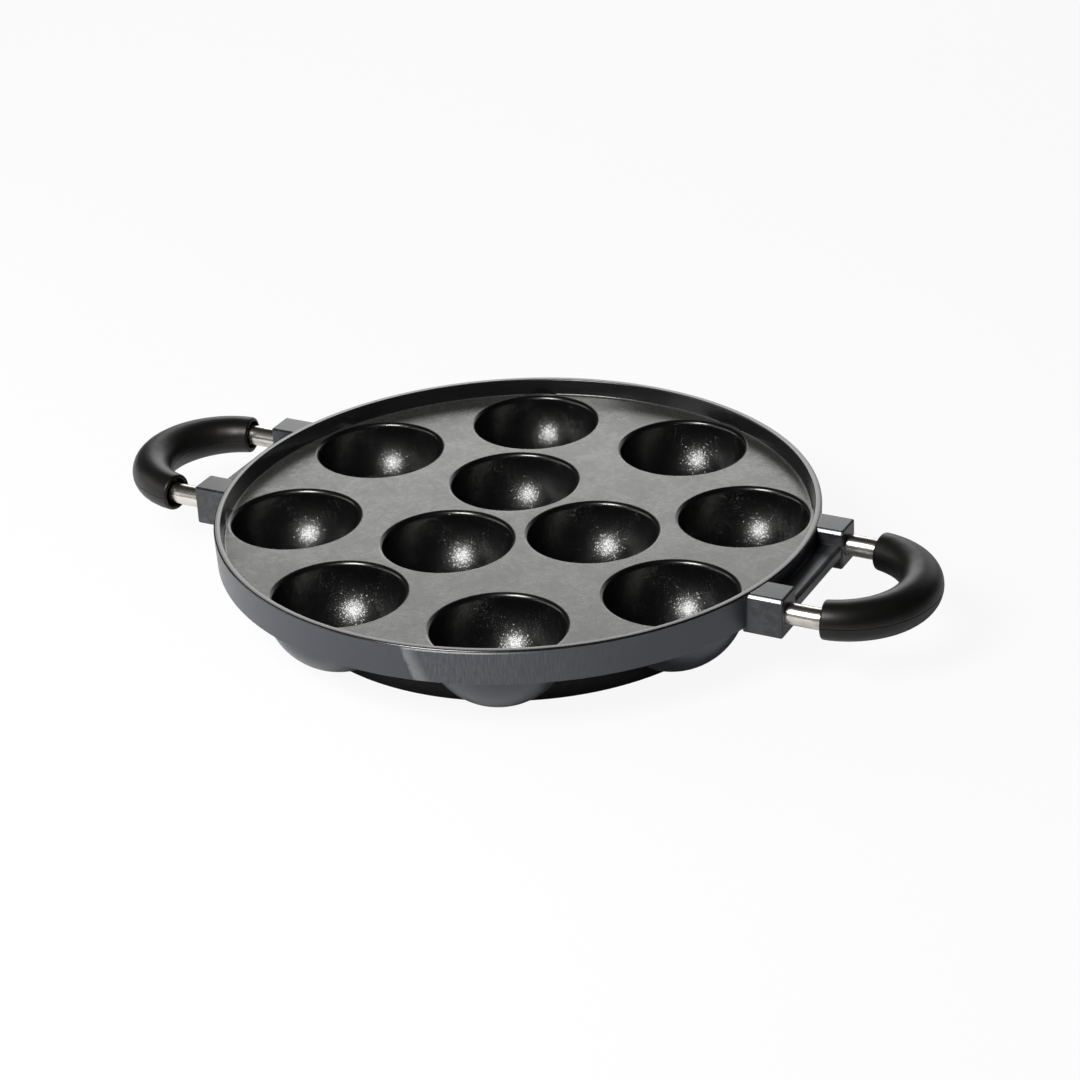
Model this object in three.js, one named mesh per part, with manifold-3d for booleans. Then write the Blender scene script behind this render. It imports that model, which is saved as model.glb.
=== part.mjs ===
import * as THREE from 'three';
import { RoundedBoxGeometry } from 'three/addons/geometries/RoundedBoxGeometry.js';
import { mergeVertices } from 'three/addons/utils/BufferGeometryUtils.js';
import Module from 'manifold-3d';

// Paniyaram pan: one coated casting with eleven round cups, and two U-shaped rod handles with moulded grips.
// Millimetres, +Z up, X through the two handles, origin in the middle of the face that the pan stands on.

// Plate, rim and base ring of the casting
const rimDiameter = 230;
const rimHeight = 6.6;
const rimLand = 2.6;
const rimEdge = 0.9;
const rimFootFillet = 0.8;
const trayFloorDiameter = 223.2;
const wallDrop = 7;
const wallDraft = 0.4;
const skirtThickness = 4;
const plateThickness = 4;
const plateHeight = 29.5;
const ringDiameter = 176;
const ringThickness = 3.5;

// Cups, eight round the edge and three in the middle
const cupDiameter = 49.5;
const cupWall = 2.8;
const cupLip = 1;
const outerCups = 8;
const outerCupCircle = 171;
const innerCups = 3;
const innerCupCircle = 63;

// Lugs that hold the rods, and the shelf between each pair
const lugWidth = 12.5;
const lugHeight = 15.5;
const lugReach = 8;
const lugEdge = 1.6;
const lugTopDrop = 0.3;
const shelfThickness = 5.4;
const shelfTopDrop = 6.1;
const shelfSetback = 0.4;
const shelfEdge = 1.4;

// Handle rods
const rodDiameter = 8;
const legSpacing = 57;
const bareLegLength = 9;
const rodSeatDepth = 9.5;

// Moulded grips, each an upper and a lower half shell
const gripEndDiameter = 14.4;
const gripMiddleDiameter = 16.7;
const gripEndEdge = 1;
const gripStart = 4;
const mouthDiameter = 11.4;
const mouthDepth = 7;

// Pins that lock each rod leg in its lug from below
const pinDiameter = 3;
const pinLead = 0.5;
const pinRise = 1.2;
const pinRecess = 0.6;

// Fits
const seatClearance = 0.3;
const partingGap = 0.2;

// Fineness of the round forms
const turnSteps = 64;
const cupSteps = 20;
const cupRings = 5;
const edgeSteps = 2;
const rodSides = 12;
const rodSteps = 26;
const gripSides = 14;
const gripSteps = 18;

// Sizes that follow
const rimRadius = rimDiameter / 2;
const rimTop = plateHeight + rimHeight;
const cupRadius = cupDiameter / 2;
const cupCentreHeight = plateHeight - cupLip;
const lugFace = rimRadius + lugReach;
const lugTop = rimTop - lugTopDrop;
const lugMiddle = lugTop - lugHeight / 2;
const legOffset = legSpacing / 2;
const rodRadius = rodDiameter / 2;
const seatRadius = rodRadius + seatClearance;
const pinPlace = lugFace - rodSeatDepth / 2;
const pinBottom = lugTop - lugHeight + pinRecess;
const pinTop = lugMiddle + rodRadius + pinRise;
const pinHoleRadius = pinDiameter / 2 + seatClearance;
const bendCentre = lugFace + bareLegLength;

// How far cutters and buried ends run past the faces that they cross
const overrun = 5;

const wasm = await Module();
wasm.setup();

// A closed geometry as a solid that can be joined and cut
function solid(geometry) {
  const bare = geometry.clone();
  bare.deleteAttribute('normal');
  bare.deleteAttribute('uv');
  const merged = mergeVertices(bare);
  const corners = [];
  for (let i = 0; i < merged.index.count; i += 3) {
    const [a, b, c] = [0, 1, 2].map((k) => merged.index.getX(i + k));
    if (a !== b && b !== c && c !== a) corners.push(a, b, c);
  }
  return new wasm.Manifold(new wasm.Mesh({
    numProp: 3,
    vertProperties: Float32Array.from(merged.attributes.position.array),
    triVerts: Uint32Array.from(corners),
  }));
}

function join(solids) {
  return solids.reduce((whole, piece) => whole.add(piece));
}

function cutAll(whole, cutters) {
  return cutters.reduce((left, cutter) => left.subtract(cutter), whole);
}

// A named mesh from a finished solid
function meshFrom(name, body, material) {
  const shell = body.getMesh();
  const geometry = new THREE.BufferGeometry();
  geometry.setAttribute('position', new THREE.BufferAttribute(shell.vertProperties, 3));
  geometry.setIndex(new THREE.BufferAttribute(shell.triVerts, 1));
  geometry.computeVertexNormals();
  const mesh = new THREE.Mesh(geometry, material);
  mesh.name = name;
  return mesh;
}

// Points of a round stretch in a profile, angles in degrees
function arcPoints(centreX, centreY, radius, startDegrees, endDegrees, steps) {
  return Array.from({ length: steps + 1 }, (_, i) => {
    const angle = THREE.MathUtils.degToRad(startDegrees + (i / steps) * (endDegrees - startDegrees));
    return new THREE.Vector2(centreX + radius * Math.cos(angle), centreY + radius * Math.sin(angle));
  });
}

// A profile of radius and height turned about Z
function turned(profile, steps) {
  return new THREE.LatheGeometry(profile, steps).rotateX(Math.PI / 2);
}

// An upright round bar between two heights
function uprightBar(radius, bottom, top, sides) {
  const bar = new THREE.CylinderGeometry(radius, radius, top - bottom, sides);
  return bar.rotateX(Math.PI / 2).translate(0, 0, (bottom + top) / 2);
}

// Plate, rim wall and base ring as one turned form
function turnedBody() {
  const plateUnder = plateHeight - plateThickness;
  const ringOuter = ringDiameter / 2;
  const ringInner = ringOuter - ringThickness;
  const wallFoot = plateHeight - wallDrop;
  const wallFootRadius = rimRadius - wallDraft;
  const skirtInner = wallFootRadius - skirtThickness;
  const floorRadius = trayFloorDiameter / 2;
  const landInner = rimRadius - rimLand;
  const profile = [
    new THREE.Vector2(0, plateUnder),
    new THREE.Vector2(ringInner, plateUnder),
    new THREE.Vector2(ringInner, 0),
    new THREE.Vector2(ringOuter, 0),
    new THREE.Vector2(ringOuter, plateUnder),
    new THREE.Vector2(skirtInner, plateUnder),
    new THREE.Vector2(skirtInner, wallFoot),
    new THREE.Vector2(wallFootRadius, wallFoot),
    ...arcPoints(rimRadius - rimEdge, rimTop - rimEdge, rimEdge, 0, 90, edgeSteps),
    new THREE.Vector2(landInner, rimTop),
    new THREE.Vector2(floorRadius, plateHeight + rimFootFillet),
    new THREE.Vector2(floorRadius - rimFootFillet, plateHeight),
    new THREE.Vector2(0, plateHeight),
  ];
  return solid(turned(profile, turnSteps));
}

// Places of all the cups on their two circles
function cupPlaces() {
  const ring = (count, circle, startTurn) => Array.from({ length: count }, (_, i) => {
    const angle = ((i + startTurn) / count) * 2 * Math.PI;
    return [(circle / 2) * Math.cos(angle), (circle / 2) * Math.sin(angle)];
  });
  return [...ring(outerCups, outerCupCircle, 0.5), ...ring(innerCups, innerCupCircle, 0)];
}

// The outside of a cup, from its pole up into the plate
function cupOutside() {
  const wallTop = plateHeight - plateThickness / 2;
  const radius = cupRadius + cupWall;
  const topAngle = THREE.MathUtils.radToDeg(Math.asin((wallTop - cupCentreHeight) / radius));
  const profile = arcPoints(0, cupCentreHeight, radius, -90, topAngle, cupRings);
  profile.push(new THREE.Vector2(0, wallTop));
  return turned(profile, cupSteps);
}

// The hollow of a cup, with its rounded lip, open upwards
function cupInside() {
  const profile = [
    ...arcPoints(0, cupCentreHeight, cupRadius, -90, 0, cupRings),
    ...arcPoints(cupRadius + cupLip, cupCentreHeight, cupLip, 180, 90, edgeSteps).slice(1),
    new THREE.Vector2(cupRadius + cupLip, plateHeight + overrun),
    new THREE.Vector2(0, plateHeight + overrun),
  ];
  return turned(profile, cupSteps);
}

// One lug beside the rim, side is +1 or -1 along X, leg is +1 or -1 along Y
function lugBlock(side, leg) {
  const length = lugReach + overrun * 2;
  const block = new RoundedBoxGeometry(length, lugWidth, lugHeight, edgeSteps, lugEdge);
  return solid(block.translate(side * (lugFace - length / 2), leg * legOffset, lugMiddle));
}

// The shelf between two lugs, a bar with rounded edges along Y
function shelfBar(side) {
  const length = lugReach - shelfSetback + overrun * 2;
  const top = rimTop - shelfTopDrop;
  const bar = new RoundedBoxGeometry(length, legSpacing, shelfThickness, edgeSteps, shelfEdge);
  return solid(bar.translate(side * (lugFace - shelfSetback - length / 2), 0, top - shelfThickness / 2));
}

// Level hole in a lug for a rod leg
function rodSeat(side, leg) {
  const depth = rodSeatDepth + seatClearance;
  const hole = new THREE.CylinderGeometry(seatRadius, seatRadius, depth + overrun, gripSides);
  hole.rotateZ(Math.PI / 2).translate(side * (lugFace - depth / 2 + overrun / 2), leg * legOffset, lugMiddle);
  return solid(hole);
}

// Upright hole in a lug for its pin, open below
function pinSeat(side, leg) {
  const hole = uprightBar(pinHoleRadius, pinBottom - overrun, pinTop + seatClearance, rodSides);
  return solid(hole.translate(side * pinPlace, leg * legOffset, 0));
}

// The whole casting
function panCasting() {
  const sides = [[1, 1], [1, -1], [-1, 1], [-1, -1]];
  const insideOfWall = solid(uprightBar(rimRadius - rimLand / 2, -overrun, rimTop + overrun, turnSteps));
  const holders = join([
    ...sides.map(([side, leg]) => lugBlock(side, leg)),
    shelfBar(1),
    shelfBar(-1),
  ]).subtract(insideOfWall);
  const places = cupPlaces();
  const outside = cupOutside();
  const inside = cupInside();
  const cups = places.map(([x, y]) => solid(outside.clone().translate(x, y, 0)));
  const hollows = places.map(([x, y]) => solid(inside.clone().translate(x, y, 0)));
  const holes = sides.flatMap(([side, leg]) => [rodSeat(side, leg), pinSeat(side, leg)]);
  return cutAll(join([turnedBody(), holders, ...cups]), [...hollows, ...holes]);
}

// The round bend of a handle about its own centre, opening towards -X
class BendArc extends THREE.Curve {
  constructor(startAngle, endAngle) {
    super();
    this.startAngle = startAngle;
    this.endAngle = endAngle;
  }

  getPoint(t, target = new THREE.Vector3()) {
    const angle = this.startAngle + t * (this.endAngle - this.startAngle);
    return target.set(legOffset * Math.cos(angle), legOffset * Math.sin(angle), 0);
  }
}

// A round section carried along a curve
function roundSweep(radius, path, sides, steps) {
  const section = new THREE.Shape().absarc(0, 0, radius, 0, 2 * Math.PI);
  return new THREE.ExtrudeGeometry(section, { steps, curveSegments: sides / 2, extrudePath: path });
}

// One bent rod with a pin hole through each leg
function handleRod() {
  const legEnd = -(bareLegLength + rodSeatDepth);
  const path = new THREE.CurvePath();
  path.add(new THREE.LineCurve3(
    new THREE.Vector3(legEnd, -legOffset, 0),
    new THREE.Vector3(0, -legOffset, 0),
  ));
  path.add(new BendArc(-Math.PI / 2, Math.PI / 2));
  path.add(new THREE.LineCurve3(
    new THREE.Vector3(0, legOffset, 0),
    new THREE.Vector3(legEnd, legOffset, 0),
  ));
  const pinHoles = [1, -1].map((leg) => {
    const hole = uprightBar(pinHoleRadius, -rodRadius - overrun, rodRadius + overrun, rodSides);
    return solid(hole.translate(pinPlace - bendCentre, leg * legOffset, 0));
  });
  return cutAll(solid(roundSweep(rodRadius, path, rodSides, rodSteps)), pinHoles);
}

// Angle of the grip's end on the bend, measured from the leg
const gripEndAngle = Math.asin(gripStart / legOffset);

// Radius of the grip at an angle from the middle of the bend
function gripRadius(angle) {
  const halfSpan = Math.PI / 2 - gripEndAngle;
  const fromEnd = Math.max(0, (halfSpan - Math.abs(angle)) * legOffset);
  const swell = Math.cos((angle / halfSpan) * (Math.PI / 2));
  const body = gripEndDiameter / 2 + ((gripMiddleDiameter - gripEndDiameter) / 2) * swell;
  const short = Math.max(0, gripEndEdge - fromEnd);
  return body - (gripEndEdge - Math.sqrt(gripEndEdge ** 2 - short ** 2));
}

// The outside of the grip: a sweep along the bend, swollen towards its middle
function gripOutside() {
  const reach = Math.PI / 2 - gripEndAngle;
  const geometry = roundSweep(1, new BendArc(-reach, reach), gripSides, gripSteps);
  const places = geometry.attributes.position;
  const point = new THREE.Vector3();
  for (let i = 0; i < places.count; i += 1) {
    point.fromBufferAttribute(places, i);
    const angle = Math.atan2(point.y, point.x);
    const centre = new THREE.Vector3(legOffset * Math.cos(angle), legOffset * Math.sin(angle), 0);
    point.sub(centre).multiplyScalar(gripRadius(angle)).add(centre);
    places.setXYZ(i, point.x, point.y, point.z);
  }
  return solid(geometry);
}

// Bore for the rod, and the wider mouth at each end
function gripHollows() {
  const reach = Math.PI / 2;
  const mouthReach = (gripStart + mouthDepth) / legOffset;
  const bore = roundSweep(seatRadius, new BendArc(-reach, reach), rodSides, gripSteps);
  const mouths = [1, -1].map((leg) => {
    const path = new BendArc(leg * (reach - mouthReach), leg * reach);
    return solid(roundSweep(mouthDiameter / 2, path, gripSides, edgeSteps));
  });
  return [solid(bore), ...mouths];
}

// Both half shells of a grip, parted level with the rod's middle
function gripHalves() {
  const shell = cutAll(gripOutside(), gripHollows());
  const size = legSpacing + gripMiddleDiameter * 2;
  return [1, -1].map((half) => {
    const keep = new THREE.BoxGeometry(size, size, gripMiddleDiameter);
    keep.translate(size / 2 - overrun, 0, half * (gripMiddleDiameter + partingGap) / 2);
    return shell.intersect(solid(keep));
  });
}

// Coated dark grey casting
const castingFinish = () => new THREE.MeshStandardMaterial({ color: 0x37383a, roughness: 0.5, metalness: 0.35 });

// Bright bent steel
const rodFinish = () => new THREE.MeshStandardMaterial({ color: 0xc9c6c0, roughness: 0.18, metalness: 1 });

// Black moulded plastic
const gripFinish = () => new THREE.MeshStandardMaterial({ color: 0x161617, roughness: 0.45, metalness: 0 });

// Plain steel of the pins
const pinFinish = () => new THREE.MeshStandardMaterial({ color: 0x8f8f90, roughness: 0.4, metalness: 1 });

// Pin with a small lead at both ends
function lockPin() {
  const radius = pinDiameter / 2;
  const length = pinTop - pinBottom;
  const profile = [
    new THREE.Vector2(0, 0),
    new THREE.Vector2(radius - pinLead, 0),
    new THREE.Vector2(radius, pinLead),
    new THREE.Vector2(radius, length - pinLead),
    new THREE.Vector2(radius - pinLead, length),
    new THREE.Vector2(0, length),
  ];
  return solid(turned(profile, rodSides));
}

// One complete handle in a group of its own, centred on its bend
function handle(sideName) {
  const group = new THREE.Group();
  const [upper, lower] = gripHalves();
  group.add(meshFrom(`${sideName}_handle_rod`, handleRod(), rodFinish()));
  group.add(meshFrom(`${sideName}_grip_upper_half`, upper, gripFinish()));
  group.add(meshFrom(`${sideName}_grip_lower_half`, lower, gripFinish()));
  for (const [leg, legName] of [[1, 'a'], [-1, 'b']]) {
    const pin = meshFrom(`${sideName}_lock_pin_${legName}`, lockPin(), pinFinish());
    pin.position.set(pinPlace - bendCentre, leg * legOffset, pinBottom - lugMiddle);
    group.add(pin);
  }
  return group;
}

const pan = new THREE.Group();
pan.add(meshFrom('pan_casting', panCasting(), castingFinish()));

const rightHandle = handle('right');
rightHandle.position.set(bendCentre, 0, lugMiddle);
pan.add(rightHandle);

const leftHandle = handle('left');
leftHandle.position.set(-bendCentre, 0, lugMiddle);
leftHandle.rotation.z = Math.PI;
pan.add(leftHandle);

export default pan;
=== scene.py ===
import math

import bmesh
import bpy
from mathutils import Matrix, Vector


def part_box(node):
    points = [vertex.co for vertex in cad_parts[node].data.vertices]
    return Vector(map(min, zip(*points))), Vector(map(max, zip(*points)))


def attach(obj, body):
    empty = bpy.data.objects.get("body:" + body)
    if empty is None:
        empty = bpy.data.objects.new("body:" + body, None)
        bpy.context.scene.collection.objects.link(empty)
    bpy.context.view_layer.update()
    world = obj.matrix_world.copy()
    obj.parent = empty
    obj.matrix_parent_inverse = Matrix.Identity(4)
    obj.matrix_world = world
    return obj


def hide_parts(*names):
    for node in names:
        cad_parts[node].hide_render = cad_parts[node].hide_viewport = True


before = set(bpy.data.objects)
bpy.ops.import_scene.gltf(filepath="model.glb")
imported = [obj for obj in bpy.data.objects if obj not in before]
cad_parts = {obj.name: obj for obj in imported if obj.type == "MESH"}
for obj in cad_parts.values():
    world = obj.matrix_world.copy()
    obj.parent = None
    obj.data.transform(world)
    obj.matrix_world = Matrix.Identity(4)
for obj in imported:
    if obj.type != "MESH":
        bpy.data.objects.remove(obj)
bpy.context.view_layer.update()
mm = 0.001
hair = 0.1 * mm  # near enough when edges and points are picked by place
print("frame loaded:", len(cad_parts), "nodes")


# Helpers for selecting and shaping

def clearSelection():
    if bpy.context.object and bpy.context.object.mode != "OBJECT":
        bpy.ops.object.mode_set(mode="OBJECT")
    bpy.ops.object.select_all(action="DESELECT")


def makeActive(piece):
    clearSelection()
    piece.select_set(True)
    bpy.context.view_layer.objects.active = piece


def startPiece(name):
    piece = bpy.context.active_object
    piece.name = name
    piece.data.name = name
    bpy.ops.object.transform_apply(location=True, rotation=True, scale=True)
    bpy.ops.object.mode_set(mode="EDIT")
    return piece


def pick(mode, test):
    bpy.ops.mesh.select_mode(type=mode)
    bpy.ops.mesh.select_all(action="DESELECT")
    data = bpy.context.edit_object.data
    edited = bmesh.from_edit_mesh(data)
    for item in {"VERT": edited.verts, "EDGE": edited.edges}[mode]:
        if test(item):
            item.select_set(True)
    bmesh.update_edit_mesh(data)


def edgeMiddle(edge):
    return (edge.verts[0].co + edge.verts[1].co) / 2


def bevelEdges(test, size, segments):
    pick("EDGE", test)
    bpy.ops.mesh.bevel(offset=size, segments=segments, profile=0.5, affect="EDGES")


def closeUp(gap=0.002 * mm):
    bpy.ops.mesh.select_mode(type="VERT")
    bpy.ops.mesh.select_all(action="SELECT")
    bpy.ops.mesh.remove_doubles(threshold=gap)
    bpy.ops.mesh.normals_make_consistent(inside=False)
    bpy.ops.object.mode_set(mode="OBJECT")


def arc(centreX, centreZ, radius, startDeg, endDeg, steps):
    points = []
    for i in range(steps + 1):
        t = math.radians(startDeg + (endDeg - startDeg) * i / steps)
        points.append((centreX + radius * math.cos(t), centreZ + radius * math.sin(t)))
    return points


# One vertex is extruded along the profile, and the wire is spun about the upright axis
def spunProfile(name, points, steps):
    clearSelection()
    bpy.ops.mesh.primitive_plane_add(size=mm)
    piece = startPiece(name)
    bpy.ops.mesh.merge(type="CENTER")
    bpy.ops.transform.translate(value=(points[0][0], 0, points[0][1]))
    for before, after in zip(points, points[1:]):
        step = (after[0] - before[0], 0, after[1] - before[1])
        bpy.ops.mesh.extrude_vertices_move(TRANSFORM_OT_translate={"value": step})
    bpy.ops.mesh.select_all(action="SELECT")
    bpy.ops.mesh.spin(steps=steps, angle=2 * math.pi, center=(0, 0, 0), axis=(0, 0, 1))
    closeUp()
    return piece


def startBlock(name, low, high):
    clearSelection()
    centre = [(a + b) / 2 for a, b in zip(low, high)]
    spans = [b - a for a, b in zip(low, high)]
    bpy.ops.mesh.primitive_cube_add(size=1, location=centre, scale=spans)
    return startPiece(name)


def roundCutter(name, sides, radius, length, centre, tilt=(0, 0, 0)):
    clearSelection()
    bpy.ops.mesh.primitive_cylinder_add(vertices=sides, radius=radius, depth=length,
                                        location=centre, rotation=tilt)
    piece = startPiece(name)
    closeUp()
    return piece


def copyOf(piece, name, shift=(0, 0, 0), turn=0.0):
    makeActive(piece)
    bpy.ops.object.duplicate(linked=False)
    twin = bpy.context.active_object
    twin.name = name
    twin.data.name = name
    twin.rotation_euler = (0, 0, turn)
    twin.location = shift
    bpy.ops.object.transform_apply(location=True, rotation=True, scale=True)
    return twin


# The tool is used up
def combine(piece, tool, operation):
    makeActive(piece)
    cut = piece.modifiers.new("combine", "BOOLEAN")
    cut.operation = operation
    cut.solver = "MANIFOLD"
    cut.object = tool
    bpy.ops.object.modifier_apply(modifier=cut.name)
    bpy.data.objects.remove(tool)


def combineTurned(piece, tool, turn, operation):
    combine(piece, copyOf(tool, tool.name + "Turned", turn=turn), operation)
    bpy.data.objects.remove(tool)


def smoothFinish(piece, angle):
    makeActive(piece)
    bpy.ops.object.shade_smooth_by_angle(angle=math.radians(angle))
    weigh = piece.modifiers.new("weigh", "WEIGHTED_NORMAL")
    weigh.keep_sharp = True
    bpy.ops.object.modifier_apply(modifier=weigh.name)


def place(piece, slotName, *nodes):
    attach(piece, "root")
    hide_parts(*nodes)


# The casting: a spun plate with rim and base ring, eleven cups, four lugs and two shelves

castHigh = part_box("pan_casting")[1]

casting = {
    "rimRadius": castHigh.y,
    "rimTop": castHigh.z,
    "rimEdge": 0.7 * mm,
    "rimInnerEdge": 0.5 * mm,
    "landWidth": 2.6 * mm,
    "innerDraft": 8,  # degrees, on the rim wall's inner side
    "plateTop": castHigh.z - 6.6 * mm,
    "plateThickness": 4 * mm,
    "floorRadius": 111.6 * mm,
    "footFillet": 0.8 * mm,
    "wallFoot": 22.5 * mm,
    "wallFootEdge": 0.25 * mm,
    "wallDraft": 0.4 * mm,
    "skirtInner": 110.6 * mm,
    "skirtEdge": 0.5 * mm,
    "skirtFillet": 1 * mm,
    "ringInner": 84.5 * mm,
    "ringOuter": 88 * mm,
    "ringEdge": 0.7 * mm,
    "ringFillet": 1.2 * mm,
    "outerCups": 8,
    "outerCircle": 85.5 * mm,
    "innerCups": 3,
    "innerCircle": 31.5 * mm,
    "cupRadius": 24.3 * mm,
    "cupWall": 3.25 * mm,
    "cupSink": 1.2 * mm,
    "bulgeTop": -3,  # degrees below the bowl's centre
    "lipRadius": 1.8 * mm,
    "lipStop": 8,  # degrees short of level
    "lipRise": 0.1 * mm,
    "cutterRise": 3 * mm,
    "lugFace": castHigh.x,
    "lugWidth": 12.5 * mm,
    "lugSpacing": 57 * mm,
    "lugLow": 20.3 * mm,
    "lugTop": 35.8 * mm,
    "lugEdge": 0.8 * mm,
    "chamferDepth": 1.05 * mm,
    "chamferHeight": 1.35 * mm,
    "chamferTop": 0.5 * mm,
    "chamferFoot": 0.2 * mm,
    "slantTurn": 0.5,  # radians between faces: more is a slanted edge
    "squareTurn": 1.2,  # and more than this is a square one
    "shelfFace": castHigh.x - 0.4 * mm,
    "shelfTop": 30 * mm,
    "shelfLow": 24.6 * mm,
    "shelfEdge": 1.4 * mm,
    "rootDepth": 8 * mm,  # lugs and shelves start this far inside the rim
    "trayTrim": 1.6 * mm,  # and are cut back to this
    "trimHeight": 60 * mm,
    "seatRadius": 4.15 * mm,
    "seatEnd": 113.5 * mm,
    "seatLength": 14 * mm,
    "seatSides": 32,
    "pinHoleRadius": 1.6 * mm,
    "pinHoleLength": 10 * mm,
    "pinHoleDrop": 2 * mm,
    "pinHoleSides": 24,
    "spinSteps": 192,
    "trimSteps": 96,
    "cupSteps": 72,
    "bowlSteps": 26,
    "bulgeSteps": 22,
    "lipSteps": 9,
    "mergeGap": 0.001 * mm,
    "smoothAngle": 32,
}


def plateProfile(c):
    rimIn = c["rimRadius"] - c["landWidth"]
    under = c["plateTop"] - c["plateThickness"]
    wallX = c["rimRadius"] - c["wallDraft"]
    draft, fillet = c["innerDraft"], c["footFillet"]
    rimEdge, innerEdge = c["rimEdge"], c["rimInnerEdge"]
    footEdge, skirtEdge, skirtFillet = c["wallFootEdge"], c["skirtEdge"], c["skirtFillet"]
    ringEdge, ringFillet = c["ringEdge"], c["ringFillet"]
    points = [(0, c["plateTop"])]
    points += arc(c["floorRadius"] - fillet, c["plateTop"] + fillet, fillet, -90, -draft, 5)
    points += arc(rimIn + innerEdge, c["rimTop"] - innerEdge, innerEdge, 180 - draft, 90, 4)
    points += arc(c["rimRadius"] - rimEdge, c["rimTop"] - rimEdge, rimEdge, 90, 0, 6)
    points += arc(wallX - footEdge, c["wallFoot"] + footEdge, footEdge, 0, -90, 3)
    points += arc(c["skirtInner"] + skirtEdge, c["wallFoot"] + skirtEdge, skirtEdge, -90, -180, 3)
    points += arc(c["skirtInner"] - skirtFillet, under - skirtFillet, skirtFillet, 0, 90, 3)
    points += arc(c["ringOuter"] + ringFillet, under - ringFillet, ringFillet, 90, 180, 3)
    points += arc(c["ringOuter"] - ringEdge, ringEdge, ringEdge, 0, -90, 4)
    points += arc(c["ringInner"] + ringEdge, ringEdge, ringEdge, -90, -180, 4)
    points += arc(c["ringInner"] - ringFillet, under - ringFillet, ringFillet, 0, 90, 3)
    points.append((0, under))
    return points


# The outer circle of cups starts half a step round, the inner one on +X
def cupPlaces(c):
    places = []
    outer = (c["outerCups"], c["outerCircle"], 0.5)
    inner = (c["innerCups"], c["innerCircle"], 0)
    for count, radius, start in (outer, inner):
        for i in range(count):
            turn = math.radians(360 / count * (i + start))
            places.append((radius * math.cos(turn), radius * math.sin(turn), 0))
    return places


def bulgeProfile(c):
    level = c["plateTop"] - c["cupSink"]
    points = arc(0, level, c["cupRadius"] + c["cupWall"], -90, c["bulgeTop"], c["bulgeSteps"])
    points.append((0, points[-1][1]))
    points[0] = (0, points[0][1])
    return points


# The lip's round stops short of level, so that the cutter meets the plate at a clear angle
def bowlProfile(c):
    level = c["plateTop"] - c["cupSink"]
    lip = c["lipRadius"]
    lipLevel = c["plateTop"] - lip
    reach = c["cupRadius"] + lip
    lipX = math.sqrt(reach ** 2 - (level - lipLevel) ** 2)
    meet = math.degrees(math.asin((lipLevel - level) / reach))
    points = arc(0, level, c["cupRadius"], -90, meet, c["bowlSteps"])
    points[0] = (0, points[0][1])
    points += arc(lipX, lipLevel, lip, 180 + meet, 90 + c["lipStop"], c["lipSteps"])[1:]
    lastX, lastZ = points[-1]
    edgeX = lastX + c["lipRise"] / math.tan(math.radians(c["lipStop"]))
    cutterTop = c["plateTop"] + c["cutterRise"]
    points += [(edgeX, lastZ + c["lipRise"]), (edgeX, cutterTop), (0, cutterTop)]
    return points


# A lug: one long top edge gets a steep chamfer, and all outer edges are then eased
def makeLug(c, middle):
    face = middle - c["lugWidth"] / 2
    inner = c["rimRadius"] - c["rootDepth"]
    lug = startBlock("lug", (inner, face, c["lugLow"]), (c["lugFace"], face + c["lugWidth"], c["lugTop"]))

    def onFace(point):
        return point.y < face + hair

    def slanted(edge):
        return c["slantTurn"] < edge.calc_face_angle(0) < c["squareTurn"]

    def squareOuter(edge):
        return edge.calc_face_angle(0) > c["squareTurn"] and max(v.co.x for v in edge.verts) > inner + mm

    bevelEdges(lambda e: edgeMiddle(e).z > c["lugTop"] - hair and onFace(edgeMiddle(e)), c["chamferDepth"], 1)
    pick("VERT", lambda v: onFace(v.co) and v.co.z > c["lugTop"] - c["chamferDepth"] - hair)
    bpy.ops.transform.translate(value=(0, 0, c["chamferDepth"] - c["chamferHeight"]))
    bevelEdges(lambda e: slanted(e) and not onFace(edgeMiddle(e)), c["chamferTop"], 4)
    bevelEdges(lambda e: slanted(e) and onFace(edgeMiddle(e)), c["chamferFoot"], 2)
    bevelEdges(squareOuter, c["lugEdge"], 3)
    closeUp()
    return lug


def makeShelf(c):
    reach = c["lugSpacing"] / 2
    inner = c["rimRadius"] - c["rootDepth"]
    shelf = startBlock("shelf", (inner, -reach, c["shelfLow"]), (c["shelfFace"], reach, c["shelfTop"]))

    def frontEdge(edge):
        return edgeMiddle(edge).x > c["shelfFace"] - mm and abs(edgeMiddle(edge).y) < mm

    bevelEdges(frontEdge, c["shelfEdge"], 4)
    closeUp()
    return shelf


def rodSeat(c, middle):
    centre = (c["seatEnd"] + c["seatLength"] / 2, middle, (c["lugLow"] + c["lugTop"]) / 2)
    lying = (0, math.pi / 2, 0)
    return roundCutter("rodSeat", c["seatSides"], c["seatRadius"], c["seatLength"], centre, lying)


def pinHole(c, middle):
    low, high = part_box("right_lock_pin_a")
    centre = ((low.x + high.x) / 2, middle, low.z - c["pinHoleDrop"])
    return roundCutter("pinHole", c["pinHoleSides"], c["pinHoleRadius"], c["pinHoleLength"], centre)


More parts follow.
